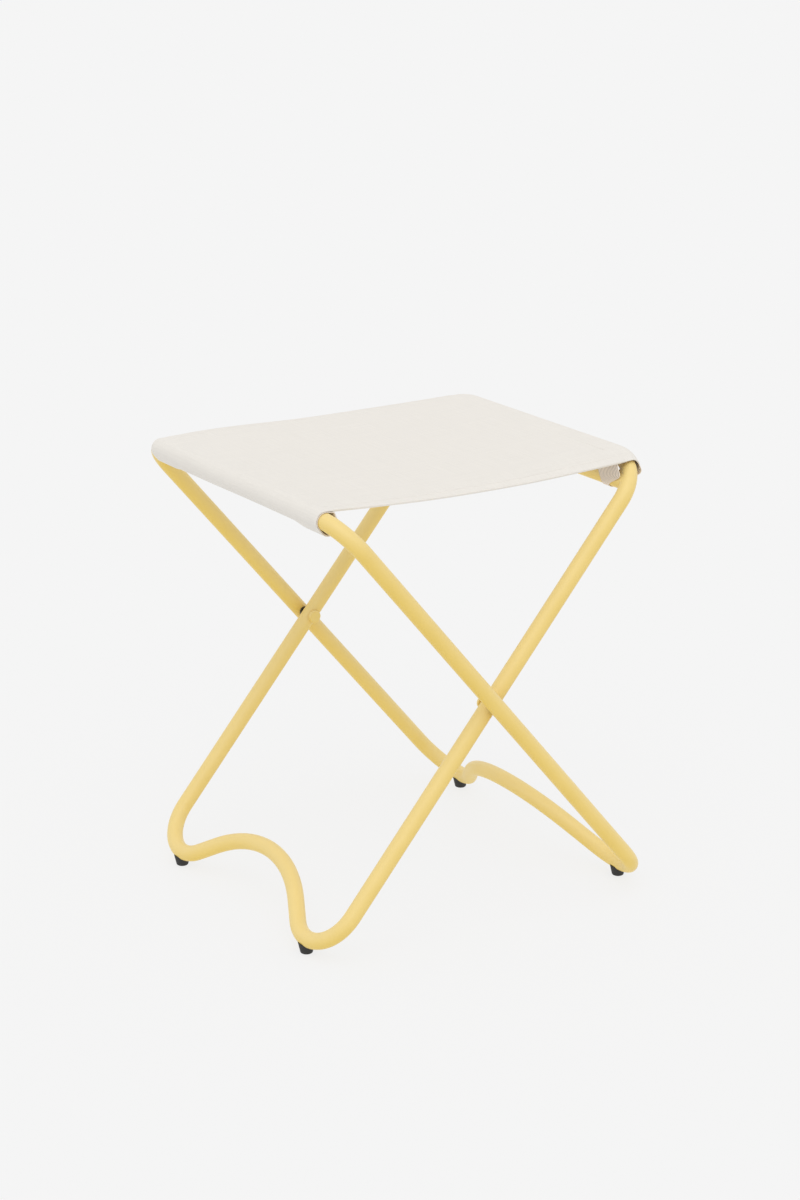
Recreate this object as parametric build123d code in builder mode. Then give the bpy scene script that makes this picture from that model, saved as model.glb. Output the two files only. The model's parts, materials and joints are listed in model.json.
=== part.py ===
from build123d import *
from math import cos, radians, sin, sqrt
import os

# Folding camp stool: two wavy tube frames cross at a pivot and hold a canvas seat on their rails.
# +Z is up, Y runs along the rails and the pivots, and the origin is on the floor under the middle.
# All sizes are in millimetres.

# ---- bent tube frames ----
tube_d = 16.0
tube_wall = 1.2
leg_lean = 40.3  # degrees between a leg and the vertical
outer_rail_reach = 267.0  # pivot to the centre of a rail, along the legs
inner_rail_reach = 272.0
foot_reach = 274.6  # pivot to the lowest point of a tube's centre line, along the legs
foot_gap = 6.57  # floor to the tube over a foot
outer_half_width = 179.0  # middle of the stool to the centre of an outer leg
frame_gap = 2.3  # between outer and inner legs
outer_top_bend_r = 36.0
inner_top_bend_r = 42.0
foot_bend_r = 40.0
outer_wave_angle = 43.3  # degrees at which the tube climbs from a foot to its arch
inner_wave_angle = 38.1
outer_wave_run = 33.0  # straight run between foot bend and arch
inner_wave_run = 25.0

# ---- rail joints: a sleeve inside the two tube ends, held by rivets ----
joint_gap = 0.4  # between the two tube ends
splice_length = 90.0
splice_wall = 1.5
splice_fit = 0.05  # radial, inside the tube
rivet_spacing = 56.0
rivet_d = 3.2
rivet_fit = 0.05
rivet_grip = 1.2  # how far a rivet reaches past the splice's wall
rivet_head_d = 6.0
rivet_head_height = 0.8
rivet_head_edge = 0.4

# ---- bar beside the inner rail ----
bar_gap = 6.6  # between the rail and the bar, down the legs

# ---- pivots ----
bolt_d = 6.0
bolt_running_fit = 0.06  # radial, in the inner leg
bolt_thread_fit = 0.05  # radial, in the insert
bolt_reach = 8.0  # how far the bolt goes into the outer leg
bolt_head_d = 13.0
bolt_head_height = 3.2
bolt_head_edge = 1.0
head_play = 0.3  # under the head, so that the inner leg turns freely
washer_d = 11.5
washer_hole_d = 6.4
washer_play = 0.3  # on each side of the washer
insert_d = 8.4
insert_length = 10.0
insert_fit = 0.05

# ---- feet ----
foot_top_d = 16.5
foot_bottom_d = 11.5
foot_rise = 4.23  # how far a foot rises beside its tube
foot_edge_r = 1.6
stem_d = 5.0
stem_fit = 0.05
barb_d = 6.4
barb_tip_d = 4.0
barb_length = 2.5
barb_lift = 1.0  # barb's shoulder over the lowest point inside the tube

# ---- canvas seat ----
canvas_t = 1.6
canvas_fit = 0.15  # canvas to tube
hem_gap = 2.7  # front and back edges of the canvas to the inner legs
band_width = 22.0
band_gap = 0.3  # between a band and its sleeve
sleeve_slack = 1.2  # least that a sleeve hangs off its rail, which clears the rivet heads
bend_clearance = 0.1  # least from the canvas to a tube bending down inside it
outer_band_slack = 5.0  # least that the outer bands hang off the rail
panel_gap = 0.4  # each panel half to the middle and to its sleeve

tube_r = tube_d / 2
lean = radians(leg_lean)
inner_half_width = outer_half_width - tube_d - frame_gap
foot_x = foot_reach * sin(lean)
foot_tube_z = foot_gap + tube_r
pivot_height = foot_tube_z + foot_reach * cos(lean)
bar_spacing = tube_d + bar_gap
bar_reach = inner_rail_reach - bar_spacing
seat_half = inner_half_width - tube_r - hem_gap

sides = {"outer": -1, "inner": 1}  # where each frame's rail is along X
ends = {"front": -1, "back": 1}
half_widths = {"outer": outer_half_width, "inner": inner_half_width}
rail_reaches = {"outer": outer_rail_reach, "inner": inner_rail_reach}
top_bend_radii = {"outer": outer_top_bend_r, "inner": inner_top_bend_r}
waves = {"outer": (outer_wave_angle, outer_wave_run), "inner": (inner_wave_angle, inner_wave_run)}
pieces = {}


def frame_plane(frame):
    """The plane of a frame, with its origin on the pivot, local X along Y and local Y up the legs."""
    normal = (cos(lean), 0, -sides[frame] * sin(lean))
    return Plane(origin=(0, 0, pivot_height), x_dir=(0, 1, 0), z_dir=normal)


def section_plane(frame, reach, y=0):
    """Plane square to a rail, on the frame's point at this reach, with local X up the legs."""
    centre = (sides[frame] * reach * sin(lean), y, pivot_height + reach * cos(lean))
    return Plane(origin=centre, x_dir=(sides[frame] * sin(lean), 0, cos(lean)), z_dir=(0, 1, 0))


def pivot_plane(end, y):
    """Plane square to the pivot at this distance from the middle, facing outwards."""
    return Plane(origin=(0, end * y, pivot_height), z_dir=(0, end, 0))


def rivet_plane(frame, along=0):
    """Plane on the side of a rail that faces the pivot, at this place along it, facing out of the tube."""
    seat = frame_plane(frame).from_local_coords((along, rail_reaches[frame] - tube_r, 0))
    return Plane(origin=seat, z_dir=(-sides[frame] * sin(lean), 0, -cos(lean)))


def foot_plane(frame, end, height=0):
    """Level plane over the middle of a foot."""
    return Plane((-sides[frame] * foot_x, end * (half_widths[frame] - foot_bend_r), height))


def half_frame_path(frame):
    """Centre line of half a frame, from the joint in its rail to the middle of its arch."""
    half_width, rail_reach, top_bend_r = half_widths[frame], rail_reaches[frame], top_bend_radii[frame]
    wave_angle, wave_run = waves[frame]
    wave = radians(wave_angle)
    foot_centre = foot_bend_r - foot_reach
    arch_r = (half_width - foot_bend_r - wave_run * cos(wave)) / sin(wave) - foot_bend_r
    arch_start = foot_centre - foot_bend_r * cos(wave) + wave_run * sin(wave)
    with BuildLine(frame_plane(frame)) as line:
        Line((joint_gap / 2, rail_reach), (half_width - top_bend_r, rail_reach))
        CenterArc((half_width - top_bend_r, rail_reach - top_bend_r), top_bend_r, 90, -90)
        Line((half_width, rail_reach - top_bend_r), (half_width, foot_centre))
        foot = CenterArc((half_width - foot_bend_r, foot_centre), foot_bend_r, 0, -90 - wave_angle)
        arch = CenterArc((0, arch_start - arch_r * cos(wave)), arch_r, 90 - wave_angle, wave_angle)
        Line(foot @ 1, arch @ 0)
    return line.wires()[0]


# ---- frame tubes, each a closed loop with its ends in the middle of the rail ----
tube_solids = {}
for frame, half_width in half_widths.items():
    path = half_frame_path(frame)
    with BuildPart() as filled:
        with BuildSketch(section_plane(frame, rail_reaches[frame], joint_gap / 2)):
            Circle(tube_r)
        sweep(path=path)
        mirror(about=Plane.XZ)
    tube_solids[frame] = filled.part

    with BuildPart() as frame_tube:
        with BuildSketch(section_plane(frame, rail_reaches[frame], joint_gap / 2)):
            Circle(tube_r)
            Circle(tube_r - tube_wall, mode=Mode.SUBTRACT)
        sweep(path=path)
        mirror(about=Plane.XZ)
        for end in ends.values():
            with BuildSketch(foot_plane(frame, end, foot_tube_z)):
                Circle(stem_d / 2 + stem_fit)
            extrude(amount=-tube_d, mode=Mode.SUBTRACT)
            with Locations(rivet_plane(frame, end * rivet_spacing / 2)):
                Cylinder(rivet_d / 2 + rivet_fit, tube_d, mode=Mode.SUBTRACT)
            if frame == "outer":
                with BuildSketch(pivot_plane(end, half_width)):
                    Circle(insert_d / 2 + insert_fit)
                extrude(amount=-tube_d, mode=Mode.SUBTRACT)
            else:
                with BuildSketch(pivot_plane(end, half_width)):
                    Circle(bolt_d / 2 + bolt_running_fit)
                extrude(amount=tube_d, both=True, mode=Mode.SUBTRACT)
    pieces[f"{frame}_frame_tube"] = frame_tube

    with BuildPart() as splice:
        with BuildSketch(section_plane(frame, rail_reaches[frame])):
            Circle(tube_r - tube_wall - splice_fit)
            Circle(tube_r - tube_wall - splice_fit - splice_wall, mode=Mode.SUBTRACT)
        extrude(amount=splice_length / 2, both=True)
        for end in ends.values():
            with Locations(rivet_plane(frame, end * rivet_spacing / 2)):
                Cylinder(rivet_d / 2 + rivet_fit, tube_d, mode=Mode.SUBTRACT)
    pieces[f"{frame}_rail_splice"] = splice

    grip = tube_wall + splice_fit + splice_wall + rivet_grip
    with BuildPart() as rivets:
        for end in ends.values():
            with BuildSketch(rivet_plane(frame, end * rivet_spacing / 2)):
                Circle(rivet_head_d / 2)
            head = extrude(amount=rivet_head_height)
            outwards = Axis((0, 0, 0), rivet_plane(frame).z_dir)
            fillet(head.edges().group_by(outwards)[-1], rivet_head_edge)
            with BuildSketch(rivet_plane(frame, end * rivet_spacing / 2)):
                Circle(rivet_d / 2)
            extrude(amount=-grip)
    pieces[f"{frame}_splice_rivets"] = rivets

    for end_name, end in ends.items():
        barb = foot_plane(frame, end, foot_gap + tube_wall + barb_lift)
        with BuildPart() as foot:
            with BuildSketch(foot_plane(frame, end)):
                Circle(foot_bottom_d / 2)
            with BuildSketch(foot_plane(frame, end, foot_gap + foot_rise)):
                Circle(foot_top_d / 2)
            loft()
            fillet(foot.edges().sort_by(Axis.Z)[0], foot_edge_r)
            add(tube_solids[frame], mode=Mode.SUBTRACT)
            with BuildSketch(barb):
                Circle(stem_d / 2)
            extrude(amount=-tube_wall - barb_lift - foot_gap / 2)
            with BuildSketch(barb):
                Circle(barb_d / 2)
            with BuildSketch(barb.offset(barb_length)):
                Circle(barb_tip_d / 2)
            loft()
        pieces[f"{frame}_foot_{end_name}"] = foot

# ---- bar beside the inner rail, coped onto the two bends ----
bend_offset = bar_reach - (inner_rail_reach - inner_top_bend_r)
bar_half = inner_half_width - inner_top_bend_r + sqrt(inner_top_bend_r**2 - bend_offset**2)
with BuildPart() as sleeve_bar:
    with BuildSketch(section_plane("inner", bar_reach)):
        Circle(tube_r)
        Circle(tube_r - tube_wall, mode=Mode.SUBTRACT)
    extrude(amount=bar_half, both=True)
    add(tube_solids["inner"], mode=Mode.SUBTRACT)
pieces["sleeve_bar"] = sleeve_bar

# ---- pivots: a bolt through the inner leg into an insert in the outer leg ----
head_seat = inner_half_width - tube_r - head_play
outer_leg_face = outer_half_width - tube_r
for end_name, end in ends.items():
    with BuildPart() as bolt:
        with BuildSketch(pivot_plane(end, head_seat)):
            Circle(bolt_head_d / 2)
        extrude(amount=-bolt_head_height)
        fillet(bolt.edges().sort_by(Axis((0, 0, 0), (0, -end, 0)))[-1], bolt_head_edge)
        with BuildSketch(pivot_plane(end, head_seat)):
            Circle(bolt_d / 2)
        extrude(amount=outer_leg_face + bolt_reach - head_seat)
    pieces[f"pivot_bolt_{end_name}"] = bolt

    with BuildPart() as washer:
        with BuildSketch(pivot_plane(end, outer_leg_face - washer_play)):
            Circle(washer_d / 2)
            Circle(washer_hole_d / 2, mode=Mode.SUBTRACT)
        extrude(amount=2 * washer_play - frame_gap)
    pieces[f"pivot_washer_{end_name}"] = washer

    with BuildPart() as insert:
        with BuildSketch(pivot_plane(end, outer_leg_face)):
            Circle(insert_d / 2)
            Circle(bolt_d / 2 + bolt_thread_fit, mode=Mode.SUBTRACT)
        extrude(amount=insert_length)
    pieces[f"pivot_insert_{end_name}"] = insert

# ---- canvas: a sleeve round each rail, a band at each of its ends, and the seat between ----
least_hangs = {"outer": outer_band_slack, "inner": bar_spacing}
inside_r = tube_r + canvas_fit
outside_r = inside_r + canvas_t
sleeve_half = seat_half - band_width - band_gap
outer_rail = section_plane("outer", outer_rail_reach).origin
inner_rail = section_plane("inner", inner_rail_reach).origin
span = inner_rail - outer_rail
seat_plane = Plane(origin=(outer_rail + inner_rail) / 2, x_dir=span, z_dir=span.cross(Vector(0, 1, 0)))
sleeve_chord = sqrt(outside_r**2 - inside_r**2)
panel_width = (span.length - panel_gap) / 2 - panel_gap - sleeve_chord


def hang_at(frame, y, least):
    """How far cloth that ends this far along a rail hangs, so that the tube bends down inside it."""
    bend_inside_r = top_bend_radii[frame] - tube_r
    past_bend = min(bend_inside_r, max(0, y - half_widths[frame] + top_bend_radii[frame]))
    tube_drop = bend_inside_r - sqrt(bend_inside_r**2 - past_bend**2)
    return max(least, tube_drop - canvas_fit + bend_clearance)


def loop_outline(radius, drop):
    """Outline of a loop of cloth round a rail that hangs this far off it, down the legs."""
    Circle(radius)
    with Locations((-drop, 0)):
        Circle(radius)
    with Locations((-drop / 2, 0)):
        Rectangle(drop, 2 * radius)


def loop_of_cloth(rail, drop, length):
    """A loop of cloth of this length along the rail, from the rail's section plane on."""
    with BuildPart() as loop:
        with BuildSketch(rail):
            loop_outline(outside_r, drop)
        extrude(amount=length)
        with BuildSketch(rail):
            loop_outline(inside_r, drop)
        extrude(amount=length, mode=Mode.SUBTRACT)
    return loop


for frame, side in sides.items():
    sleeve_end = section_plane(frame, rail_reaches[frame], -sleeve_half)
    sleeve_hang = hang_at(frame, sleeve_half, sleeve_slack)
    pieces[f"{frame}_rail_sleeve"] = loop_of_cloth(sleeve_end, sleeve_hang, 2 * sleeve_half)
    band_hang = hang_at(frame, seat_half, least_hangs[frame])
    for end_name, end in ends.items():
        band_start = section_plane(frame, rail_reaches[frame], end * (seat_half - band_width))
        band = loop_of_cloth(band_start, band_hang, end * band_width)
        pieces[f"{frame}_sleeve_band_{end_name}"] = band
    with BuildPart() as panel:
        with BuildSketch(seat_plane.offset(inside_r)):
            with Locations((side * (panel_gap + panel_width) / 2, 0)):
                Rectangle(panel_width, 2 * seat_half)
        extrude(amount=canvas_t)
    pieces[f"{frame}_seat_panel"] = panel

os.makedirs("parts", exist_ok=True)
for name, piece in pieces.items():
    piece.part.label = name
    export_step(piece.part, f"parts/{name}.step")
    print(f"{name}: {len(piece.part.solids())} solid(s), {piece.part.volume / 1000:.2f} cm3")
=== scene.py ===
"""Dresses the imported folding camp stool: powder-coated tubes, rubber feet and a sewn canvas seat.

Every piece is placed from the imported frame, and the stool stands on a plain pale studio floor.
"""

import json
import math

import bmesh
import bpy
from mathutils import Matrix, Vector


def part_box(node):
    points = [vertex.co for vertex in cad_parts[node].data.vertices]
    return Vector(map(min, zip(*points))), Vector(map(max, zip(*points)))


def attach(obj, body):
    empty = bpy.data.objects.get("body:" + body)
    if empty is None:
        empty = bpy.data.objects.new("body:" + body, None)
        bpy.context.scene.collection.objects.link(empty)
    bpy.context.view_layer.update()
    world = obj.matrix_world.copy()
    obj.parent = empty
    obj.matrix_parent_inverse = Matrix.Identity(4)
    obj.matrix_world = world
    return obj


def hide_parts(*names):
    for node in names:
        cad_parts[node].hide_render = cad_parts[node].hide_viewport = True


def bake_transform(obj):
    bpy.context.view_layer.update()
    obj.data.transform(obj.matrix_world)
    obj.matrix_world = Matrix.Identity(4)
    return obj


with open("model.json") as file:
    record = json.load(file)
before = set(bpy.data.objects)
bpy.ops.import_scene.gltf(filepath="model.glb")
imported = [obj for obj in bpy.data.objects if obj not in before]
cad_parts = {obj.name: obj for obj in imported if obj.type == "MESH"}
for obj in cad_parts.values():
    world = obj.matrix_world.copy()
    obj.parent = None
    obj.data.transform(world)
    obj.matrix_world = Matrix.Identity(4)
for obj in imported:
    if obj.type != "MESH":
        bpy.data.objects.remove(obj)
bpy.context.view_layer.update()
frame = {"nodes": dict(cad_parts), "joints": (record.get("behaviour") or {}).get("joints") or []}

bl_info = {
    "name": "Folding Camp Stool",
    "version": (1, 0, 0),
    "blender": (4, 5, 0),
    "location": "View3D > Sidebar > Stool",
    "description": "Makes the canvas seat and the finishes of a folding camp stool round its CAD frame",
    "category": "Add Mesh",
}

MM = 0.001

# ---- places read from the frame, in metres ----
# The outer frame's rail is on side -1 of the stool along X, the inner frame's rail on side 1.
SIDES = {-1: "outer", 1: "inner"}
ENDS = {-1: "front", 1: "back"}
BAR_LOW, BAR_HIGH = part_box("sleeve_bar")
BAR = (BAR_LOW + BAR_HIGH) / 2
TUBE_RADIUS = (BAR_HIGH.z - BAR_LOW.z) / 2
OUTER_LOW, OUTER_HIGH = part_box("outer_frame_tube")
INNER_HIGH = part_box("inner_frame_tube")[1]
PIVOT = Vector(frame["joints"][0]["pos_m"])
RAILS = {
    -1: Vector((OUTER_LOW.x + TUBE_RADIUS, 0, OUTER_HIGH.z - TUBE_RADIUS)),
    1: Vector((INNER_HIGH.x - TUBE_RADIUS, 0, INNER_HIGH.z - TUBE_RADIUS)),
}
HALF_WIDTHS = {-1: OUTER_HIGH.y - TUBE_RADIUS, 1: INNER_HIGH.y - TUBE_RADIUS}
LEAN = math.atan2(RAILS[1].x, RAILS[1].z - PIVOT.z)
LOOP_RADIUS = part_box("outer_rail_sleeve")[1].z - RAILS[-1].z
SEAT_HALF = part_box("outer_seat_panel")[1].y
BAND_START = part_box("outer_sleeve_band_back")[0].y
TOP_BEND_RADII = {-1: 36 * MM, 1: 42 * MM}
BAR_HANG = (RAILS[1] - BAR).length
DOWN_LEG = Vector((-math.sin(LEAN), -math.cos(LEAN)))  # its parts outwards and up, the same for either side

CANVAS_NODES = ("outer_seat_panel", "inner_seat_panel", "outer_rail_sleeve", "inner_rail_sleeve")
PAINTED_NODES = ("outer_frame_tube", "inner_frame_tube", "sleeve_bar", "pivot_bolt_front", "pivot_bolt_back")
STEEL_NODES = (
    "outer_rail_splice",
    "inner_rail_splice",
    "outer_splice_rivets",
    "inner_splice_rivets",
    "pivot_insert_front",
    "pivot_insert_back",
)
NYLON_NODES = ("pivot_washer_front", "pivot_washer_back")
RUBBER_NODES = ("outer_foot_front", "outer_foot_back", "inner_foot_front", "inner_foot_back")

# ---- how the cloth is cut and hangs, in metres where it is a length ----
# The slit near each end of the inner sleeve, along Y, lets the bar in. From there out the sleeve goes round it.
SLIT_START, SLIT_STOP = BAND_START - 6 * MM, BAND_START - 3.5 * MM
ROUND_BAR = SLIT_STOP - 0.1 * MM
# Cross-sections of the canvas stand this far from its middle: millimetres up to the slit, then metres.
MIDDLE_CUTS = (0, 12, 24, 36, 48, 60, 72, 84, 92, 98, 102, 105, 108, 111, 114, 117, 119.5)
BAND_CUTS = (0.131, 0.135)
HEM_CUTS = (0.143, 0.147)
# Steps of a cross-section over a rail, down its outside, round under it, and back up to the seam.
OVER_STEPS, SIDE_STEPS, UNDER_STEPS, WEB_STEPS = 16, 5, 16, 8
PANEL_STEPS = 72
FLAP_LENGTH = 10 * MM  # canvas that lies under the seat past a sleeve's seam
CANVAS_GAP = 1.1  # from the seat's top down to the middle of that flap, in canvas thicknesses
BAND_GAP = 2.2  # from the seat's top down to a band's seam, in canvas thicknesses
FRONT_FOLLOW, BACK_FOLLOW = 0.78, 0.55  # share of a rail's bend that the cloth sinks with
PUFF, PUFF_PLACE, PUFF_SPREAD = 2.2 * MM, 0.2, 0.16  # bulge; its place and spread from rail to rail
PUFF_START, PUFF_STOP = 40 * MM, 150 * MM  # where it grows, towards the back
BACK_SLACK = 3 * MM  # how much further the outer sleeve hangs off at the back
SLACK_START, SLACK_STOP = -60 * MM, 100 * MM  # where that grows
FLARE_START, FLARE_STOP = 104 * MM, 119 * MM  # along the sleeve, from its middle
SEAM_RUN_IN = 9 * MM  # how far the seams of the inner bands run in, away from the sleeve's ends
SKEW = 4.5 * MM
RIPPLE = 0.18 * MM
HEM_REACH = RAILS[1].x - 12 * MM  # the hem stops this far out, before its turn over the rail
HEM_STEP = 0.3 * MM  # over which the hem comes up to its full thickness
BAND_SPANS = {-1: (BAND_START, SEAT_HALF + 0.8 * MM), 1: (SLIT_STOP, SEAT_HALF - 1.0 * MM)}
RIM_CUTS = {-1: 0, 1: 15 * MM}  # how far the rim of an inner band is drawn in under the bar
RIM_BELLY, BELLY_HEIGHT = 0.3, 5 * MM  # bulge of that rim level with the bar's top, as a share of its cut
STITCH_MARGINS = {-1: 14 * MM, 1: 16 * MM}  # from a rail to the first stitch


# ---- settings that a user would change ----
class StoolFinishes(bpy.types.PropertyGroup):
    """Colours and finishes of the frame, the feet and the hardware"""

    # Painted light: the paler tone of the paint, used on the sides that face up.
    paint_color: bpy.props.FloatVectorProperty(
        name="Paint",
        description="Powder coat of the tubes, the bar and the bolt heads",
        subtype="COLOR",
        size=3,
        min=0,
        max=1,
        default=(0.87, 0.665, 0.25),
    )
    # Painted shade: a deeper copy of the paint for the sides that face down, against the painted light above.
    paint_shaded_color: bpy.props.FloatVectorProperty(
        name="Paint underneath",
        description="Deeper tone of the powder coat on the sides that face down and stay free of haze",
        subtype="COLOR",
        size=3,
        min=0,
        max=1,
        default=(0.85, 0.60, 0.10),
    )
    paint_roughness: bpy.props.FloatProperty(
        name="Paint roughness", description="Satin of the powder coat", default=0.42, min=0, max=1
    )
    rubber_color: bpy.props.FloatVectorProperty(
        name="Rubber",
        description="Feet",
        subtype="COLOR",
        size=3,
        min=0,
        max=1,
        default=(0.018, 0.017, 0.016),
    )
    nylon_color: bpy.props.FloatVectorProperty(
        name="Nylon",
        description="Pivot washers",
        subtype="COLOR",
        size=3,
        min=0,
        max=1,
        default=(0.02, 0.02, 0.02),
    )
    steel_color: bpy.props.FloatVectorProperty(
        name="Steel",
        description="Zinc-plated hardware",
        subtype="COLOR",
        size=3,
        min=0,
        max=1,
        default=(0.6, 0.6, 0.6),
    )


class StoolCanvas(bpy.types.PropertyGroup):
    """Sizes and colours of the sewn seat"""

    thickness: bpy.props.FloatProperty(
        name="Canvas", description="Thickness of the canvas", default=0.9 * MM, unit="LENGTH", precision=5
    )
    front_sag: bpy.props.FloatProperty(
        name="Front sag",
        description="Sag of the front hem between the rails",
        default=6.0 * MM,
        unit="LENGTH",
    )
    back_sag: bpy.props.FloatProperty(
        name="Back sag",
        description="Sag of the back hem between the rails",
        default=1.5 * MM,
        unit="LENGTH",
    )
    hem_width: bpy.props.FloatProperty(
        name="Hem",
        description="Width of the folded hem under the front and back edges",
        default=11 * MM,
        unit="LENGTH",
    )
    seam_inset: bpy.props.FloatProperty(
        name="Seam inset",
        description="From a rail to the seam that closes its sleeve",
        default=9 * MM,
        unit="LENGTH",
    )
    bar_seam_inset: bpy.props.FloatProperty(
        name="Bar seam inset",
        description="From the inner rail to the seams of the bands that go round the bar, at their open ends",
        default=22 * MM,
        unit="LENGTH",
    )
    sleeve_slack: bpy.props.FloatProperty(
        name="Sleeve slack",
        description="How far a sleeve hangs off its rail",
        default=1.0 * MM,
        unit="LENGTH",
    )
    flare: bpy.props.FloatProperty(
        name="Flare",
        description="How far the outer sleeve hangs off at its ends",
        default=6.5 * MM,
        unit="LENGTH",
    )
    canvas_color: bpy.props.FloatVectorProperty(
        name="Canvas",
        description="Cotton canvas",
        subtype="COLOR",
        size=3,
        min=0,
        max=1,
        default=(0.831, 0.796, 0.741),
    )
    tape_color: bpy.props.FloatVectorProperty(
        name="Tape",
        description="Ribbed webbing",
        subtype="COLOR",
        size=3,
        min=0,
        max=1,
        default=(0.82, 0.72, 0.61),
    )
    rib_pitch: bpy.props.FloatProperty(
        name="Rib pitch",
        description="From rib to rib of the webbing",
        default=1.75 * MM,
        unit="LENGTH",
        precision=5,
    )
    stitch_pitch: bpy.props.FloatProperty(
        name="Stitch",
        description="Length of one stitch with its gap",
        default=3.0 * MM,
        unit="LENGTH",
        precision=5,
    )


class StoolStage(bpy.types.PropertyGroup):
    """Floor, light and camera"""

    floor_color: bpy.props.FloatVectorProperty(
        name="Floor",
        description="Studio floor",
        subtype="COLOR",
        size=3,
        min=0,
        max=1,
        default=(0.12, 0.12, 0.12),
    )
    backdrop_color: bpy.props.FloatVectorProperty(
        name="Backdrop",
        description="Seen past the floor",
        subtype="COLOR",
        size=3,
        min=0,
        max=1,
        default=(0.913, 0.913, 0.913),
    )
    floor_glow: bpy.props.FloatProperty(
        name="Floor glow", description="Light that comes up through the floor", default=0.786, min=0
    )
    side_strength: bpy.props.FloatProperty(
        name="Side fill", description="Light from the white room, level with the stool", default=0.70, min=0
    )
    top_strength: bpy.props.FloatProperty(
        name="Top fill", description="Light from the white room, straight above", default=1.025, min=0
    )
    key_strength: bpy.props.FloatProperty(
        name="Key", description="Soft light from above the camera", default=0.54, min=0
    )
    camera_place: bpy.props.FloatVectorProperty(
        name="Camera",
        description="Where the camera stands",
        subtype="TRANSLATION",
        size=3,
        default=(-1.3063, -1.9858, 1.0592),
    )
    camera_heading: bpy.props.FloatProperty(
        name="Heading", description="From +Y towards +X", subtype="ANGLE", default=math.radians(33.455)
    )
    camera_dip: bpy.props.FloatProperty(
        name="Dip",
        description="How far the camera looks down",
        subtype="ANGLE",
        default=math.radians(18.077),
    )
    camera_roll: bpy.props.FloatProperty(
        name="Roll", description="Clockwise turn of the camera", subtype="ANGLE", default=math.radians(-0.2)
    )
    camera_lens: bpy.props.FloatProperty(
        name="Lens", description="Focal length, in millimetres", default=76.67, min=1
    )


# ---- node helpers ----
def new_material(name):
    """A material with a Principled shader; returns it, its nodes, its links and the shader."""
    material = bpy.data.materials.new(name)
    material.use_nodes = True
    nodes, links = material.node_tree.nodes, material.node_tree.links
    return material, nodes, links, nodes["Principled BSDF"]


def object_coordinates(nodes):
    """Coordinates that stay on the piece."""
    return nodes.new("ShaderNodeTexCoord").outputs["Object"]


def cloth_coordinates(nodes, links):
    """Lengths along the cloth, in metres: both together, across the run and along it."""
    cloth = nodes.new("ShaderNodeUVMap")
    cloth.uv_map = "cloth"
    axes = nodes.new("ShaderNodeSeparateXYZ")
    links.new(cloth.outputs["UV"], axes.inputs["Vector"])
    return cloth.outputs["UV"], axes.outputs["X"], axes.outputs["Y"]


def math_node(nodes, links, operation, first, second=None):
    """A math node on two inputs, each a socket or a number; returns its output."""
    node = nodes.new("ShaderNodeMath")
    node.operation = operation
    for socket, value in zip(node.inputs, (first, second)):
        if isinstance(value, bpy.types.NodeSocket):
            links.new(value, socket)
        elif value is not None:
            socket.default_value = value
    return node.outputs[0]


def noise(nodes, links, coordinates, scale, detail=2.0, roughness=0.5):
    """Output of a noise texture on these coordinates, from 0 to 1."""
    node = nodes.new("ShaderNodeTexNoise")
    node.inputs["Scale"].default_value = scale
    node.inputs["Detail"].default_value = detail
    node.inputs["Roughness"].default_value = roughness
    links.new(coordinates, node.inputs["Vector"])
    return node.outputs["Fac"]


def remap(nodes, links, value, low, high, new_low, new_high):
    """A value from one range to another, clamped."""
    node = nodes.new("ShaderNodeMapRange")
    for name, number in (("From Min", low), ("From Max", high), ("To Min", new_low), ("To Max", new_high)):
        node.inputs[name].default_value = number
    links.new(value, node.inputs["Value"])
    return node.outputs["Result"]


def mix_color(nodes, links, factor, first, second):
    """Two colours mixed by a factor, a socket or a number; each colour is a socket or three numbers."""
    node = nodes.new("ShaderNodeMix")
    node.data_type = "RGBA"
    if isinstance(factor, bpy.types.NodeSocket):
        links.new(factor, node.inputs["Factor"])
    else:
        node.inputs["Factor"].default_value = factor
    for socket, color in ((node.inputs[6], first), (node.inputs[7], second)):
        if isinstance(color, bpy.types.NodeSocket):
            links.new(color, socket)
        else:
            socket.default_value = (*color, 1)
    return node.outputs[2]


def bump(nodes, links, shader, height, distance, strength=1.0):
    """Bumps the shader's surface by this height, times a distance in metres."""
    node = nodes.new("ShaderNodeBump")
    node.inputs["Distance"].default_value = distance
    node.inputs["Strength"].default_value = strength
    links.new(height, node.inputs["Height"])
    links.new(node.outputs["Normal"], shader.inputs["Normal"])


def shade(color, factor):
    """A colour made lighter or darker."""
    return tuple(min(1.0, channel * factor) for channel in color)


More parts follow.
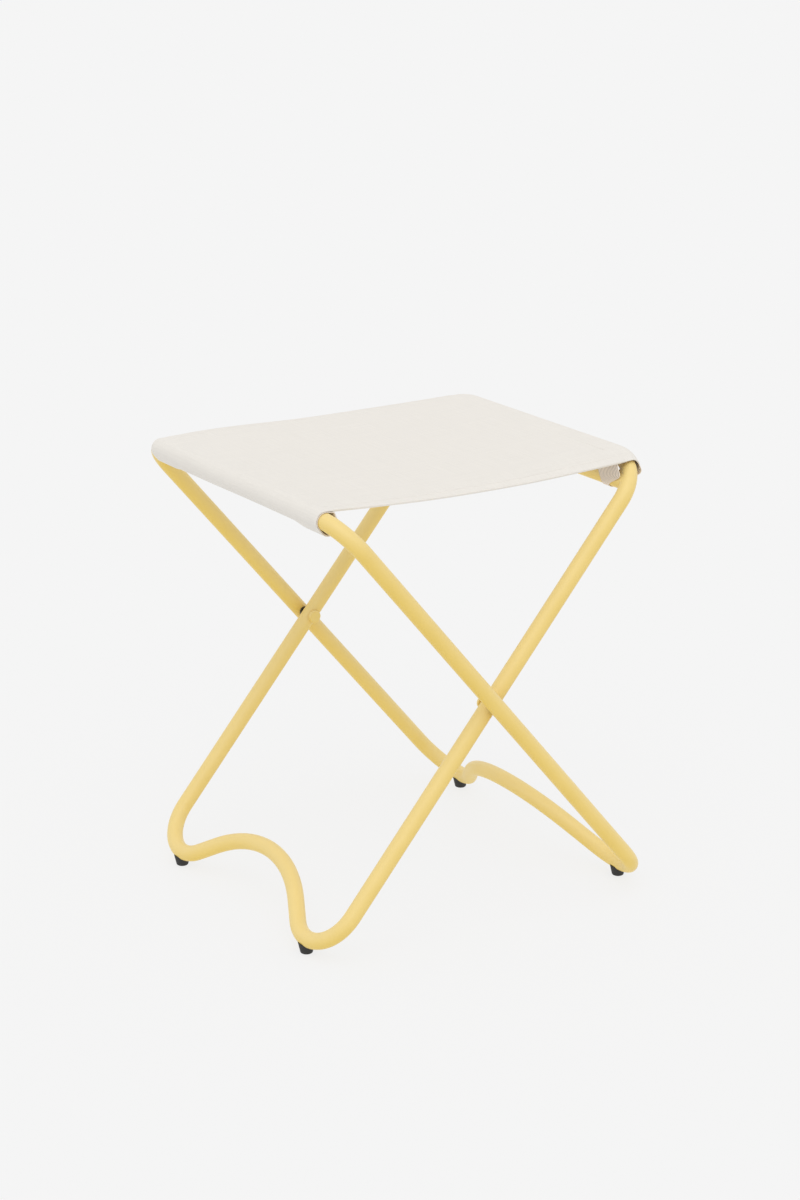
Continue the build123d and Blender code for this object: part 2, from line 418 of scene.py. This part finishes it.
# ---- finishes ----
def powder_coat(settings):
    """Satin powder coat with fine orange peel and faint cloudiness, painted lighter on the sides that face up
    and deeper on those that face down, as painted light and shade.
    """
    material, nodes, links, shader = new_material("powder_coat")
    here = object_coordinates(nodes)
    color, under = tuple(settings.paint_color), tuple(settings.paint_shaded_color)
    # Painted light and shade: the tone goes from the deeper copy on sides that face down to the paler copy on
    # sides that face up, by the facing plus a cloudy drift.
    facing = nodes.new("ShaderNodeSeparateXYZ")
    links.new(nodes.new("ShaderNodeTexCoord").outputs["Normal"], facing.inputs["Vector"])
    clouds = noise(nodes, links, here, 35, detail=3)
    drift = math_node(nodes, links, "MULTIPLY", clouds, 0.3)
    upward = math_node(nodes, links, "ADD", facing.outputs["Z"], drift)
    painted_light_share = remap(nodes, links, upward, -0.6, 0.65, 0, 1)
    # The deeper tone is painted shade and the pale one painted light, each with faint random cloudiness.
    shaded_tone = mix_color(nodes, links, clouds, shade(under, 0.97), shade(under, 1.02))
    pale = mix_color(nodes, links, clouds, shade(color, 0.98), shade(color, 1.02))
    lit_and_shaded_tone = mix_color(nodes, links, painted_light_share, shaded_tone, pale)
    links.new(lit_and_shaded_tone, shader.inputs["Base Color"])
    haze = noise(nodes, links, here, 220, detail=2)
    satin = settings.paint_roughness
    links.new(remap(nodes, links, haze, 0.3, 0.7, satin - 0.04, satin + 0.06), shader.inputs["Roughness"])
    peel = noise(nodes, links, here, 1100, detail=2, roughness=0.6)
    bump(nodes, links, shader, peel, 0.06 * MM, strength=0.5)
    shader.inputs["Coat Weight"].default_value = 0.12
    shader.inputs["Coat Roughness"].default_value = 0.35
    shader.inputs["Sheen Weight"].default_value = 0.12
    shader.inputs["Sheen Roughness"].default_value = 0.4
    return material


def rubber(settings):
    """Matt black rubber with a moulded grain."""
    material, nodes, links, shader = new_material("black_rubber")
    here = object_coordinates(nodes)
    color = tuple(settings.rubber_color)
    dust = noise(nodes, links, here, 300, detail=4)
    dusty = mix_color(nodes, links, dust, shade(color, 0.8), shade(color, 1.5))
    links.new(dusty, shader.inputs["Base Color"])
    links.new(remap(nodes, links, dust, 0.3, 0.7, 0.55, 0.72), shader.inputs["Roughness"])
    grain = noise(nodes, links, here, 2600, detail=2)
    bump(nodes, links, shader, grain, 0.05 * MM, strength=0.6)
    return material


def nylon(settings):
    """Black nylon with fine turning marks."""
    material, nodes, links, shader = new_material("black_nylon")
    here = object_coordinates(nodes)
    color = tuple(settings.nylon_color)
    marks = noise(nodes, links, here, 900, detail=3)
    links.new(mix_color(nodes, links, marks, color, shade(color, 1.6)), shader.inputs["Base Color"])
    links.new(remap(nodes, links, marks, 0.3, 0.7, 0.35, 0.5), shader.inputs["Roughness"])
    bump(nodes, links, shader, marks, 0.02 * MM)
    return material


def zinc_steel(settings):
    """Zinc-plated steel with drawn streaks along Y."""
    material, nodes, links, shader = new_material("zinc_steel")
    here = object_coordinates(nodes)
    stretch = nodes.new("ShaderNodeMapping")
    stretch.inputs["Scale"].default_value = (1, 0.05, 1)
    links.new(here, stretch.inputs["Vector"])
    streaks = noise(nodes, links, stretch.outputs["Vector"], 1500, detail=2)
    color = tuple(settings.steel_color)
    drawn = mix_color(nodes, links, streaks, shade(color, 0.85), shade(color, 1.1))
    links.new(drawn, shader.inputs["Base Color"])
    links.new(remap(nodes, links, streaks, 0.3, 0.7, 0.28, 0.42), shader.inputs["Roughness"])
    shader.inputs["Metallic"].default_value = 1.0
    bump(nodes, links, shader, streaks, 0.01 * MM)
    return material


def plain_weave(settings):
    """Cotton canvas: a plain weave of round yarns, slubs, faint yarn-to-yarn colour and a few seed flecks."""
    material, nodes, links, shader = new_material("cotton_canvas")
    yarn = 0.85 * MM
    cloth, across_run, along_run = cloth_coordinates(nodes, links)
    along = math_node(nodes, links, "MULTIPLY", across_run, math.pi / yarn)
    across = math_node(nodes, links, "MULTIPLY", along_run, math.pi / yarn)
    warp_height = math_node(nodes, links, "ABSOLUTE", math_node(nodes, links, "SINE", across))
    weft_height = math_node(nodes, links, "ABSOLUTE", math_node(nodes, links, "SINE", along))
    crossing = math_node(nodes, links, "COSINE", across)
    over = math_node(nodes, links, "MULTIPLY", crossing, math_node(nodes, links, "COSINE", along))
    lift = remap(nodes, links, over, -1, 1, 0, 1)
    dip = math_node(nodes, links, "SUBTRACT", 1.0, lift)
    warp_share = math_node(nodes, links, "MULTIPLY", warp_height, lift)
    weft_share = math_node(nodes, links, "MULTIPLY", weft_height, dip)
    weave = math_node(nodes, links, "MAXIMUM", warp_share, weft_share)

    streaks = []
    for scale in ((18, 1300, 1), (1300, 18, 1)):
        stretch = nodes.new("ShaderNodeMapping")
        stretch.inputs["Scale"].default_value = scale
        links.new(cloth, stretch.inputs["Vector"])
        streaks.append(noise(nodes, links, stretch.outputs["Vector"], 1.0, detail=2))
    slubs = math_node(nodes, links, "ADD", streaks[0], streaks[1])
    height = math_node(nodes, links, "ADD", weave, math_node(nodes, links, "MULTIPLY", slubs, 0.7))
    bump(nodes, links, shader, height, 0.16 * MM, strength=0.75)

    color = tuple(settings.canvas_color)
    crowns = remap(nodes, links, weave, 0.1, 0.8, 0, 1)
    shadow = mix_color(nodes, links, crowns, shade(color, 0.90), shade(color, 1.02))
    thick_yarns = remap(nodes, links, slubs, 0.7, 1.3, 0, 1)
    yarns = mix_color(nodes, links, thick_yarns, shade(color, 0.93), shade(color, 1.05))
    woven = mix_color(nodes, links, 0.5, shadow, yarns)
    specks = noise(nodes, links, cloth, 420, detail=3, roughness=0.7)
    flecks = remap(nodes, links, specks, 0.70, 0.76, 0, 0.45)
    seed_color = (0.42, 0.32, 0.22)
    links.new(mix_color(nodes, links, flecks, woven, seed_color), shader.inputs["Base Color"])
    shader.inputs["Roughness"].default_value = 0.92
    shader.inputs["Specular IOR Level"].default_value = 0.2
    shader.inputs["Sheen Weight"].default_value = 0.15
    shader.inputs["Sheen Roughness"].default_value = 0.6
    return material


def ribbed_tape(settings):
    """Cotton webbing: fine cross yarns on the modelled ribs, with painted shade in the grooves."""
    material, nodes, links, shader = new_material("ribbed_tape")
    cloth, across_run, along_run = cloth_coordinates(nodes, links)
    rib_turn = math_node(nodes, links, "MULTIPLY", along_run, 2 * math.pi / settings.rib_pitch)
    rib = math_node(nodes, links, "COSINE", rib_turn)
    pick = 0.55 * MM
    pick_turn = math_node(nodes, links, "MULTIPLY", across_run, 2 * math.pi / pick)
    picks = math_node(nodes, links, "SINE", pick_turn)
    fuzz = noise(nodes, links, cloth, 2400, detail=2)
    height = math_node(nodes, links, "ADD", math_node(nodes, links, "MULTIPLY", picks, 0.3), fuzz)
    bump(nodes, links, shader, height, 0.12 * MM, strength=0.7)
    color = tuple(settings.tape_color)
    # Painted shade and light: the tape is darkened in the grooves between the ribs and a little lighter on
    # their crests.
    crest = remap(nodes, links, rib, -1, 0.6, 0, 1)
    ribs = mix_color(nodes, links, crest, shade(color, 0.45), shade(color, 1.1))
    fuzzy = remap(nodes, links, fuzz, 0.3, 0.7, 0, 0.25)
    links.new(mix_color(nodes, links, fuzzy, ribs, shade(color, 0.8)), shader.inputs["Base Color"])
    shader.inputs["Roughness"].default_value = 0.9
    shader.inputs["Specular IOR Level"].default_value = 0.2
    shader.inputs["Sheen Weight"].default_value = 0.1
    return material


def cotton_thread(settings):
    """Twisted sewing thread, a shade lighter than the canvas."""
    material, nodes, links, shader = new_material("cotton_thread")
    here = object_coordinates(nodes)
    twist = noise(nodes, links, here, 3500, detail=1)
    color = tuple(settings.canvas_color)
    plies = mix_color(nodes, links, twist, shade(color, 0.92), shade(color, 1.08))
    links.new(plies, shader.inputs["Base Color"])
    shader.inputs["Roughness"].default_value = 0.8
    bump(nodes, links, shader, twist, 0.05 * MM)
    return material


def paint_nodes(names, material):
    """Gives CAD nodes a finish."""
    for name in names:
        for material_slot in frame["nodes"][name].material_slots:
            material_slot.material = material


# ---- the shape of the sewn seat ----
def smooth_step(value, low, high):
    """From 0 at low to 1 at high, level at both."""
    share = min(1.0, max(0.0, (value - low) / (high - low)))
    return share * share * (3 - 2 * share)


def rail_centre(side, y):
    """Middle of the cloth's turn over a rail: it sinks part of the way down the legs where the tube bends."""
    follow = FRONT_FOLLOW if y < 0 else BACK_FOLLOW
    radius = TOP_BEND_RADII[side] + TUBE_RADIUS
    past_bend = max(0.0, abs(y) - (HALF_WIDTHS[side] - TOP_BEND_RADII[side]))
    sink = follow * (radius - math.sqrt(radius**2 - past_bend**2))
    return RAILS[side] + Vector((side * DOWN_LEG.x, 0, DOWN_LEG.y)) * sink


def sag_at(settings, y):
    """Sag of the seat between the rails, this far along them."""
    share = (y + SEAT_HALF) / (2 * SEAT_HALF)
    return settings.front_sag + (settings.back_sag - settings.front_sag) * share


def seat_ends(settings, y, radius):
    """The two points where the seat meets its turns over the rails, and the seat's slope at each."""
    left, right = rail_centre(-1, y), rail_centre(1, y)
    tilt = (right.z - left.z) / (right.x - left.x)
    lean_in = 4 * sag_at(settings, y) / (right.x - left.x)
    points, slopes = {}, {-1: tilt - lean_in, 1: tilt + lean_in}
    for side, centre in ((-1, left), (1, right)):
        up = Vector((-slopes[side], 0, 1)).normalized()
        points[side] = centre + up * radius
    return points, slopes


def seat_height(settings, x, y, radius):
    """Height of the seat between the rails, with a soft bulge at the back near the outer rail."""
    points = seat_ends(settings, y, radius)[0]
    share = (x - points[-1].x) / (points[1].x - points[-1].x)
    level = points[-1].z + (points[1].z - points[-1].z) * share
    puff = PUFF * math.exp(-(((share - PUFF_PLACE) / PUFF_SPREAD) ** 2))
    puff *= smooth_step(y, PUFF_START, PUFF_STOP)
    return level - 4 * sag_at(settings, y) * share * (1 - share) + puff * smooth_step(share, 0, 0.12)


def arc(centre, radius, start, stop, steps):
    """Points on an arc, from one angle to another, both included."""
    angles = (start + (stop - start) * i / steps for i in range(steps + 1))
    return [centre + Vector((math.cos(a), math.sin(a))) * radius for a in angles]


def straight(start, stop, steps):
    """Points on a line, without its start."""
    return [start.lerp(stop, i / steps) for i in range(1, steps + 1)]


def loop_section(settings, side, y, radius, hang, gap, inset):
    """Cloth from the top of a rail over its outside, down the legs by hang, round, and back up to its seam.

    The seam is this gap under the seat and this far in from the rail. Points are outwards and up from the
    middle of the cloth's turn over the rail, which comes with them.
    """
    centre = rail_centre(side, y)
    rest = Vector((side * (RAILS[side].x - centre.x), RAILS[side].z - centre.z))
    slopes = seat_ends(settings, y, radius)[1]
    top = math.atan2(1, side * -slopes[side])
    outside = -LEAN
    lower = rest + DOWN_LEG * max(hang, (-rest).length)
    seam_x = RAILS[side].x - side * inset
    seam_z = seat_height(settings, seam_x, y, LOOP_RADIUS) - gap
    seam = Vector((side * (seam_x - centre.x), seam_z - centre.z))
    away = seam - lower
    back = math.atan2(away.y, away.x) + math.acos(radius / away.length) - 2 * math.pi
    over = arc(Vector((0, 0)), radius, top, outside, OVER_STEPS)
    under = arc(lower, radius, outside, back, UNDER_STEPS)
    side_run = straight(over[-1], under[0], SIDE_STEPS)
    web = straight(under[-1], seam, WEB_STEPS)
    return {"over": over, "side": side_run, "under": under[1:], "web": web, "centre": centre}


def place(side, centre, y, point):
    """A section's point in the frame."""
    return Vector((centre.x + side * point.x, y, centre.z + point.y))


def canvas_hang(settings, side, y):
    """How far the canvas sleeve hangs off a rail: close in the middle, slack or round the bar at its ends."""
    if side > 0:
        return settings.sleeve_slack if abs(y) < ROUND_BAR else BAR_HANG
    slack = settings.sleeve_slack + BACK_SLACK * smooth_step(y, SLACK_START, SLACK_STOP)
    return slack + (settings.flare - slack) * smooth_step(abs(y), FLARE_START, FLARE_STOP)


def seam_inset(settings, side, y):
    """How far in from a rail the sleeve is sewn to the seat."""
    if side < 0 or abs(y) < ROUND_BAR:
        return settings.seam_inset
    return settings.bar_seam_inset + SEAM_RUN_IN * (SEAT_HALF - abs(y)) / (SEAT_HALF - SLIT_STOP)


def skew(x, y):
    """How far the back hem runs out of square, most at the outer rail."""
    share = (RAILS[1].x - x) / (RAILS[1].x - RAILS[-1].x)
    return SKEW * min(1.0, max(0.0, share)) * smooth_step(y, 0, SEAT_HALF)


def ripple(x, y):
    """Faint unevenness of stretched cloth, up to about 0.3 mm."""
    broad = math.sin(41 * x + 23 * y) * math.cos(29 * y - 17 * x)
    fine = 0.6 * math.sin(67 * y + 1.3) * math.sin(53 * x)
    return RIPPLE * (broad + fine)


def finish_mesh(name, mesh_object, material):
    """Smooth shading and a material."""
    mesh_object.name = name
    mesh_object.data.name = name
    mesh_object.data.materials.clear()
    mesh_object.data.materials.append(material)
    for polygon in mesh_object.data.polygons:
        polygon.use_smooth = True
    return mesh_object


def apply_modifiers(mesh_object):
    """Swaps the object's mesh for the one its modifiers make."""
    bpy.context.view_layer.update()
    made = bpy.data.meshes.new_from_object(mesh_object.evaluated_get(bpy.context.evaluated_depsgraph_get()))
    mesh_object.modifiers.clear()
    mesh_object.data = made


def run_length(points, closed=False):
    """Length of a run of points."""
    pairs = zip(points, points[1:] + points[:1] if closed else points[1:])
    return sum((b - a).length for a, b in pairs)


def sheet_object(name, rows, keep=None, closed=False):
    """A grid of cloth from rows of points, with its own lengths as UVs. keep(row, column) picks the cells."""
    mesh = bmesh.new()
    grid = [[mesh.verts.new(point) for point in row] for row in rows]
    uv_layer = mesh.loops.layers.uv.new("cloth")
    columns = len(rows[0]) if closed else len(rows[0]) - 1
    middle = rows[len(rows) // 2]
    lengths = [0.0]
    for i in range(1, len(middle) + 1):
        lengths.append(lengths[-1] + (middle[i % len(middle)] - middle[i - 1]).length)
    for r in range(len(rows) - 1):
        for c in range(columns):
            if keep and not keep(r, c):
                continue
            after = (c + 1) % len(rows[0])
            face = mesh.faces.new((grid[r][c], grid[r][after], grid[r + 1][after], grid[r + 1][c]))
            corners = ((c, r), (c + 1, r), (c + 1, r + 1), (c, r + 1))
            for loop, (column, row) in zip(face.loops, corners):
                loop[uv_layer].uv = (lengths[column], rows[row][0].y)
    bmesh.ops.delete(mesh, geom=[v for v in mesh.verts if not v.link_faces], context="VERTS")
    data = bpy.data.meshes.new(name)
    mesh.to_mesh(data)
    mesh.free()
    made = bpy.data.objects.new(name, data)
    bpy.context.scene.collection.objects.link(made)
    return made


# ---- pieces ----
class STOOL_OT_frame_finish(bpy.types.Operator):
    """Powder-coats the two frames, the bar and the bolt heads"""

    bl_idname = "stool.frame_finish"
    bl_label = "Frame Finish"

    def execute(self, context):
        paint_nodes(PAINTED_NODES, powder_coat(context.scene.stool_finishes))
        return {"FINISHED"}


class STOOL_OT_hardware_finish(bpy.types.Operator):
    """Finishes the splices, rivets, inserts and washers"""

    bl_idname = "stool.hardware_finish"
    bl_label = "Hardware Finish"

    def execute(self, context):
        paint_nodes(STEEL_NODES, zinc_steel(context.scene.stool_finishes))
        paint_nodes(NYLON_NODES, nylon(context.scene.stool_finishes))
        return {"FINISHED"}


class STOOL_OT_feet_finish(bpy.types.Operator):
    """Finishes the rubber feet"""

    bl_idname = "stool.feet_finish"
    bl_label = "Feet Finish"

    def execute(self, context):
        paint_nodes(RUBBER_NODES, rubber(context.scene.stool_finishes))
        return {"FINISHED"}


class STOOL_OT_seat_canvas(bpy.types.Operator):
    """Sews the canvas seat: one sheet round both rails, hemmed at the front and back and slit for the bar"""

    bl_idname = "stool.seat_canvas"
    bl_label = "Seat Canvas"

    def execute(self, context):
        settings = context.scene.stool_canvas
        thick = settings.thickness
        radius = LOOP_RADIUS - thick / 2
        gap = CANVAS_GAP * thick
        hem_line = SEAT_HALF - settings.hem_width
        half = [cut * MM for cut in MIDDLE_CUTS] + [SLIT_START, SLIT_STOP, BAND_START, *BAND_CUTS]
        half += [hem_line - HEM_STEP, hem_line, *HEM_CUTS, SEAT_HALF]
        lines = [-y for y in reversed(half[1:])] + half
        rows = []
        for y in lines:
            sections = {}
            for side in SIDES:
                hang, inset = canvas_hang(settings, side, y), seam_inset(settings, side, y)
                part = loop_section(settings, side, y, radius, hang, gap, inset)
                flap = part["web"][-1] - Vector((FLAP_LENGTH, 0))
                run = part["over"] + part["side"] + part["under"] + part["web"] + [flap]
                sections[side] = [place(side, part["centre"], y, p) for p in run]
            left, right = sections[-1][0], sections[1][0]
            seat = []
            for i in range(1, PANEL_STEPS):
                x = left.x + (right.x - left.x) * i / PANEL_STEPS
                seat.append(Vector((x, y, seat_height(settings, x, y, radius) + ripple(x, y))))
            row = list(reversed(sections[-1])) + seat + sections[1]
            for point in row:
                point.y += skew(point.x, y)
            rows.append(row)
        inner_top = len(rows[0]) - len(sections[1])  # column at the top of the inner rail
        side_start = inner_top + OVER_STEPS + 1
        side_stop = side_start + SIDE_STEPS

        def keep(row, column):
            """Leaves out the outer flap at the bands, the slits, and the inner sleeve's underside past them."""
            y = abs(lines[row] + lines[row + 1]) / 2
            if column < inner_top:
                return y < BAND_START or column > 0
            return y < SLIT_START or column < (side_start if y < SLIT_STOP else side_stop)

        canvas = sheet_object("seat_canvas", rows, keep)
        # The hems are folded double, so the rest gets half of the full thickness.
        group = canvas.vertex_groups.new(name="thickness")
        doubled, single = 1.0, 0.5
        for vertex in canvas.data.vertices:
            hemmed = abs(vertex.co.y) >= hem_line - 0.01 * MM and abs(vertex.co.x) < HEM_REACH
            group.add([vertex.index], doubled if hemmed else single, "REPLACE")
        solidify = canvas.modifiers.new("cloth", "SOLIDIFY")
        solidify.thickness = 2 * thick
        solidify.offset = 0
        solidify.vertex_group = group.name
        solidify.use_quality_normals = True
        edge = canvas.modifiers.new("edge", "BEVEL")
        edge.width = 0.3 * MM
        edge.segments = 2
        edge.limit_method = "ANGLE"
        edge.angle_limit = math.radians(50)
        apply_modifiers(canvas)
        finish_mesh("seat_canvas", canvas, plain_weave(settings))
        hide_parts(*CANVAS_NODES)
        blend_across(canvas)
        # The cloth as cut: the seat's width with both hems let down, by the length of its middle cross-section.
        canvas["cut"] = (2 * SEAT_HALF + 2 * settings.hem_width, run_length(rows[len(rows) // 2]))
        return {"FINISHED"}


def blend_across(piece):
    """Bakes the piece's placement into its mesh."""
    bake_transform(piece)


class STOOL_OT_sleeve_bands(bpy.types.Operator):
    """Makes the ribbed webbing loops inside the four ends of the sleeves"""

    bl_idname = "stool.sleeve_bands"
    bl_label = "Sleeve Bands"

    def execute(self, context):
        settings = context.scene.stool_canvas
        material = ribbed_tape(settings)
        tape_thick = 0.55 * MM
        rib_height = 0.1 * MM
        clearance = 0.05 * MM  # between the ribs and the canvas round them
        radius = LOOP_RADIUS - settings.thickness - rib_height - tape_thick / 2 - clearance
        gap = BAND_GAP * settings.thickness
        over_bar = BAR.z + TUBE_RADIUS
        pitch = settings.rib_pitch
        per_rib = 6
        for side, frame_name in SIDES.items():
            hang = settings.flare if side < 0 else BAR_HANG
            for end, end_name in ENDS.items():
                start, stop = BAND_SPANS[side]
                rim_cut = RIM_CUTS[side]
                steps = round((stop - start) / pitch) * per_rib
                rows = []
                for i in range(steps + 1):
                    y = end * (start + (stop - start) * i / steps)
                    bulge = rib_height * math.cos(2 * math.pi * y / pitch)
                    inset = seam_inset(settings, side, y)
                    part = loop_section(settings, side, y, radius + bulge, hang, gap, inset)
                    run = part["over"] + part["side"] + part["under"] + part["web"]
                    back = straight(run[-1], run[0], WEB_STEPS)[:-1]
                    row = [place(side, part["centre"], y, p) for p in run + back]
                    for point in row:
                        drawn_in = rim_cut * smooth_step(over_bar - point.z, 2 * MM, 2 * TUBE_RADIUS)
                        belly = RIM_BELLY * rim_cut * math.exp(-(((point.z - over_bar) / BELLY_HEIGHT) ** 2))
                        point.y += end * (belly - drawn_in) * i / steps
                        point.y += skew(point.x, y)
                    rows.append(row)
                if side * end < 0:
                    rows.reverse()  # so that the faces of every band turn the same way
                band = sheet_object("band", rows, closed=True)
                solidify = band.modifiers.new("cloth", "SOLIDIFY")
                solidify.thickness = tape_thick
                solidify.offset = 0
                apply_modifiers(band)
                name = f"{frame_name}_webbing_{end_name}"
                finish_mesh(name, band, material)
                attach(band, f"{frame_name}_frame")
                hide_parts(f"{frame_name}_sleeve_band_{end_name}")
                cut = (stop - start, run_length(rows[len(rows) // 2], closed=True))
        return {"FINISHED"}


class STOOL_OT_stitching(bpy.types.Operator):
    bl_idname = "stool.stitching"
    bl_label = "Stitching"

    def execute(self, context):
        settings = context.scene.stool_canvas
        material = cotton_thread(settings)
        radius = LOOP_RADIUS - settings.thickness / 2
        thread = 0.28 * MM
        fold_margin = 2.0 * MM  # from the stitches to the hem's folded edge under the seat
        inset = settings.hem_width - fold_margin
        start, stop = RAILS[-1].x + STITCH_MARGINS[-1], RAILS[1].x - STITCH_MARGINS[1]
        count = int((stop - start) / settings.stitch_pitch)
        half_stitch = settings.stitch_pitch * 0.38
        rings, spokes = (-1.0, -0.75, 0.75, 1.0), 6  # along half a stitch, and round the thread
        end_width = 0.35  # of the thread's own radius, where it dives into the cloth
        points, faces = [], []
        for end in ENDS:
            y = end * (SEAT_HALF - inset)
            for face in (1, -1):
                for i in range(count):
                    x = start + (i + 0.5) * settings.stitch_pitch
                    height = seat_height(settings, x, y, radius) + ripple(x, y)
                    rise = seat_height(settings, x + MM, y, radius) - seat_height(settings, x, y, radius)
                    slope = rise / MM
                    here = Vector((x, y + skew(x, y), height + face * settings.thickness))
                    first = len(points)
                    for along in rings:
                        reach = half_stitch * along
                        width = thread * (end_width if abs(along) == 1 else 1)
                        for k in range(spokes):
                            angle = 2 * math.pi * k / spokes
                            lift = width * math.sin(angle) + reach * slope
                            points.append(here + Vector((reach, width * math.cos(angle), lift)))
                    for ring in range(len(rings) - 1):
                        for k in range(spokes):
                            a, b = first + ring * spokes + k, first + ring * spokes + (k + 1) % spokes
                            faces.append((a, b, b + spokes, a + spokes))
                    last = first + (len(rings) - 1) * spokes
                    faces.append(tuple(range(first + spokes - 1, first - 1, -1)))
                    faces.append(tuple(range(last, last + spokes)))
        data = bpy.data.meshes.new("hem_stitching")
        data.from_pydata(points, [], faces)
        stitches = bpy.data.objects.new("hem_stitching", data)
        context.scene.collection.objects.link(stitches)
        finish_mesh("hem_stitching", stitches, material)
        blend_across(stitches)
        return {"FINISHED"}


class STOOL_OT_stage(bpy.types.Operator):
    """Sets up the floor, the light and the camera"""

    bl_idname = "stool.stage"
    bl_label = "Stage"

    def execute(self, context):
        settings = context.scene.stool_stage
        scene = context.scene
        scene.view_settings.view_transform = "Standard"

        reach = 60.0  # so far that the floor's edge fades into the backdrop
        data = bpy.data.meshes.new("studio_floor")
        corners = [(-reach, -reach, 0), (reach, -reach, 0), (reach, reach, 0), (-reach, reach, 0)]
        data.from_pydata(corners, [], [(0, 1, 2, 3)])
        floor = bpy.data.objects.new("studio_floor", data)
        scene.collection.objects.link(floor)
        material, _, _, shader = new_material("studio_floor")
        shader.inputs["Base Color"].default_value = (*settings.floor_color, 1)
        shader.inputs["Roughness"].default_value = 1.0
        shader.inputs["Specular IOR Level"].default_value = 0.0
        shader.inputs["Emission Color"].default_value = (1, 1, 1, 1)
        shader.inputs["Emission Strength"].default_value = settings.floor_glow
        data.materials.append(material)

        world = bpy.data.worlds.new("studio_room")
        scene.world = world
        world.use_nodes = True
        nodes, links = world.node_tree.nodes, world.node_tree.links
        nodes.clear()
        fill, backdrop = nodes.new("ShaderNodeBackground"), nodes.new("ShaderNodeBackground")
        fill.inputs["Color"].default_value = (1, 1, 1, 1)
        direction = nodes.new("ShaderNodeSeparateXYZ")
        links.new(nodes.new("ShaderNodeTexCoord").outputs["Generated"], direction.inputs["Vector"])
        level, straight_up = settings.side_strength, settings.top_strength
        strength = remap(nodes, links, direction.outputs["Z"], 0, 1, level, straight_up)
        links.new(strength, fill.inputs["Strength"])
        backdrop.inputs["Color"].default_value = (*settings.backdrop_color, 1)
        rays, mix = nodes.new("ShaderNodeLightPath"), nodes.new("ShaderNodeMixShader")
        out = nodes.new("ShaderNodeOutputWorld")
        links.new(rays.outputs["Is Camera Ray"], mix.inputs[0])
        links.new(fill.outputs[0], mix.inputs[1])
        links.new(backdrop.outputs[0], mix.inputs[2])
        links.new(mix.outputs[0], out.inputs["Surface"])

        key_light = bpy.data.lights.new("key", "SUN")
        key_light.energy = settings.key_strength
        key_light.angle = math.radians(60)  # wide, for shadows without edges
        key = bpy.data.objects.new("key", key_light)
        key_from = Vector((-0.35, -0.55, 1.0))
        key.rotation_euler = key_from.to_track_quat("Z", "Y").to_euler()
        scene.collection.objects.link(key)

        heading, dip, roll = settings.camera_heading, settings.camera_dip, settings.camera_roll
        ahead = Vector((math.sin(heading) * math.cos(dip), math.cos(heading) * math.cos(dip), -math.sin(dip)))
        level_right = Vector((math.cos(heading), -math.sin(heading), 0))
        level_down = ahead.cross(level_right)
        right = level_right * math.cos(roll) + level_down * math.sin(roll)
        down = level_down * math.cos(roll) - level_right * math.sin(roll)
        camera_data = bpy.data.cameras.new("camera")
        camera_data.lens = settings.camera_lens
        camera = bpy.data.objects.new("camera", camera_data)
        turn = Matrix((right, -down, -ahead)).transposed().to_4x4()
        camera.matrix_world = Matrix.Translation(settings.camera_place) @ turn
        scene.collection.objects.link(camera)
        scene.camera = camera
        return {"FINISHED"}


class STOOL_PT_panel(bpy.types.Panel):
    """Lists the stool's settings and pieces"""

    bl_label = "Folding Camp Stool"
    bl_idname = "STOOL_PT_panel"
    bl_space_type = "VIEW_3D"
    bl_region_type = "UI"
    bl_category = "Stool"

    def draw(self, context):
        for group, operators in PANEL_SECTIONS:
            box = self.layout.box()
            settings = getattr(context.scene, group)
            for name in settings.__annotations__:
                box.prop(settings, name)
            for operator in operators:
                box.operator(operator.bl_idname)


PANEL_SECTIONS = (
    ("stool_finishes", (STOOL_OT_frame_finish, STOOL_OT_hardware_finish, STOOL_OT_feet_finish)),
    ("stool_canvas", (STOOL_OT_seat_canvas, STOOL_OT_sleeve_bands, STOOL_OT_stitching)),
    ("stool_stage", (STOOL_OT_stage,)),
)
OPERATORS = tuple(operator for _, operators in PANEL_SECTIONS for operator in operators)
CLASSES = (StoolFinishes, StoolCanvas, StoolStage, *OPERATORS, STOOL_PT_panel)


def register():
    for cls in CLASSES:
        bpy.utils.register_class(cls)
    bpy.types.Scene.stool_finishes = bpy.props.PointerProperty(type=StoolFinishes)
    bpy.types.Scene.stool_canvas = bpy.props.PointerProperty(type=StoolCanvas)
    bpy.types.Scene.stool_stage = bpy.props.PointerProperty(type=StoolStage)


def unregister():
    del bpy.types.Scene.stool_stage, bpy.types.Scene.stool_canvas, bpy.types.Scene.stool_finishes
    for cls in reversed(CLASSES):
        bpy.utils.unregister_class(cls)


def main():
    register()
    bpy.ops.stool.stage()
    bpy.ops.stool.frame_finish()
    bpy.ops.stool.hardware_finish()
    bpy.ops.stool.feet_finish()
    bpy.ops.stool.seat_canvas()
    bpy.ops.stool.sleeve_bands()
    bpy.ops.stool.stitching()


if __name__ == "__main__":
    main()
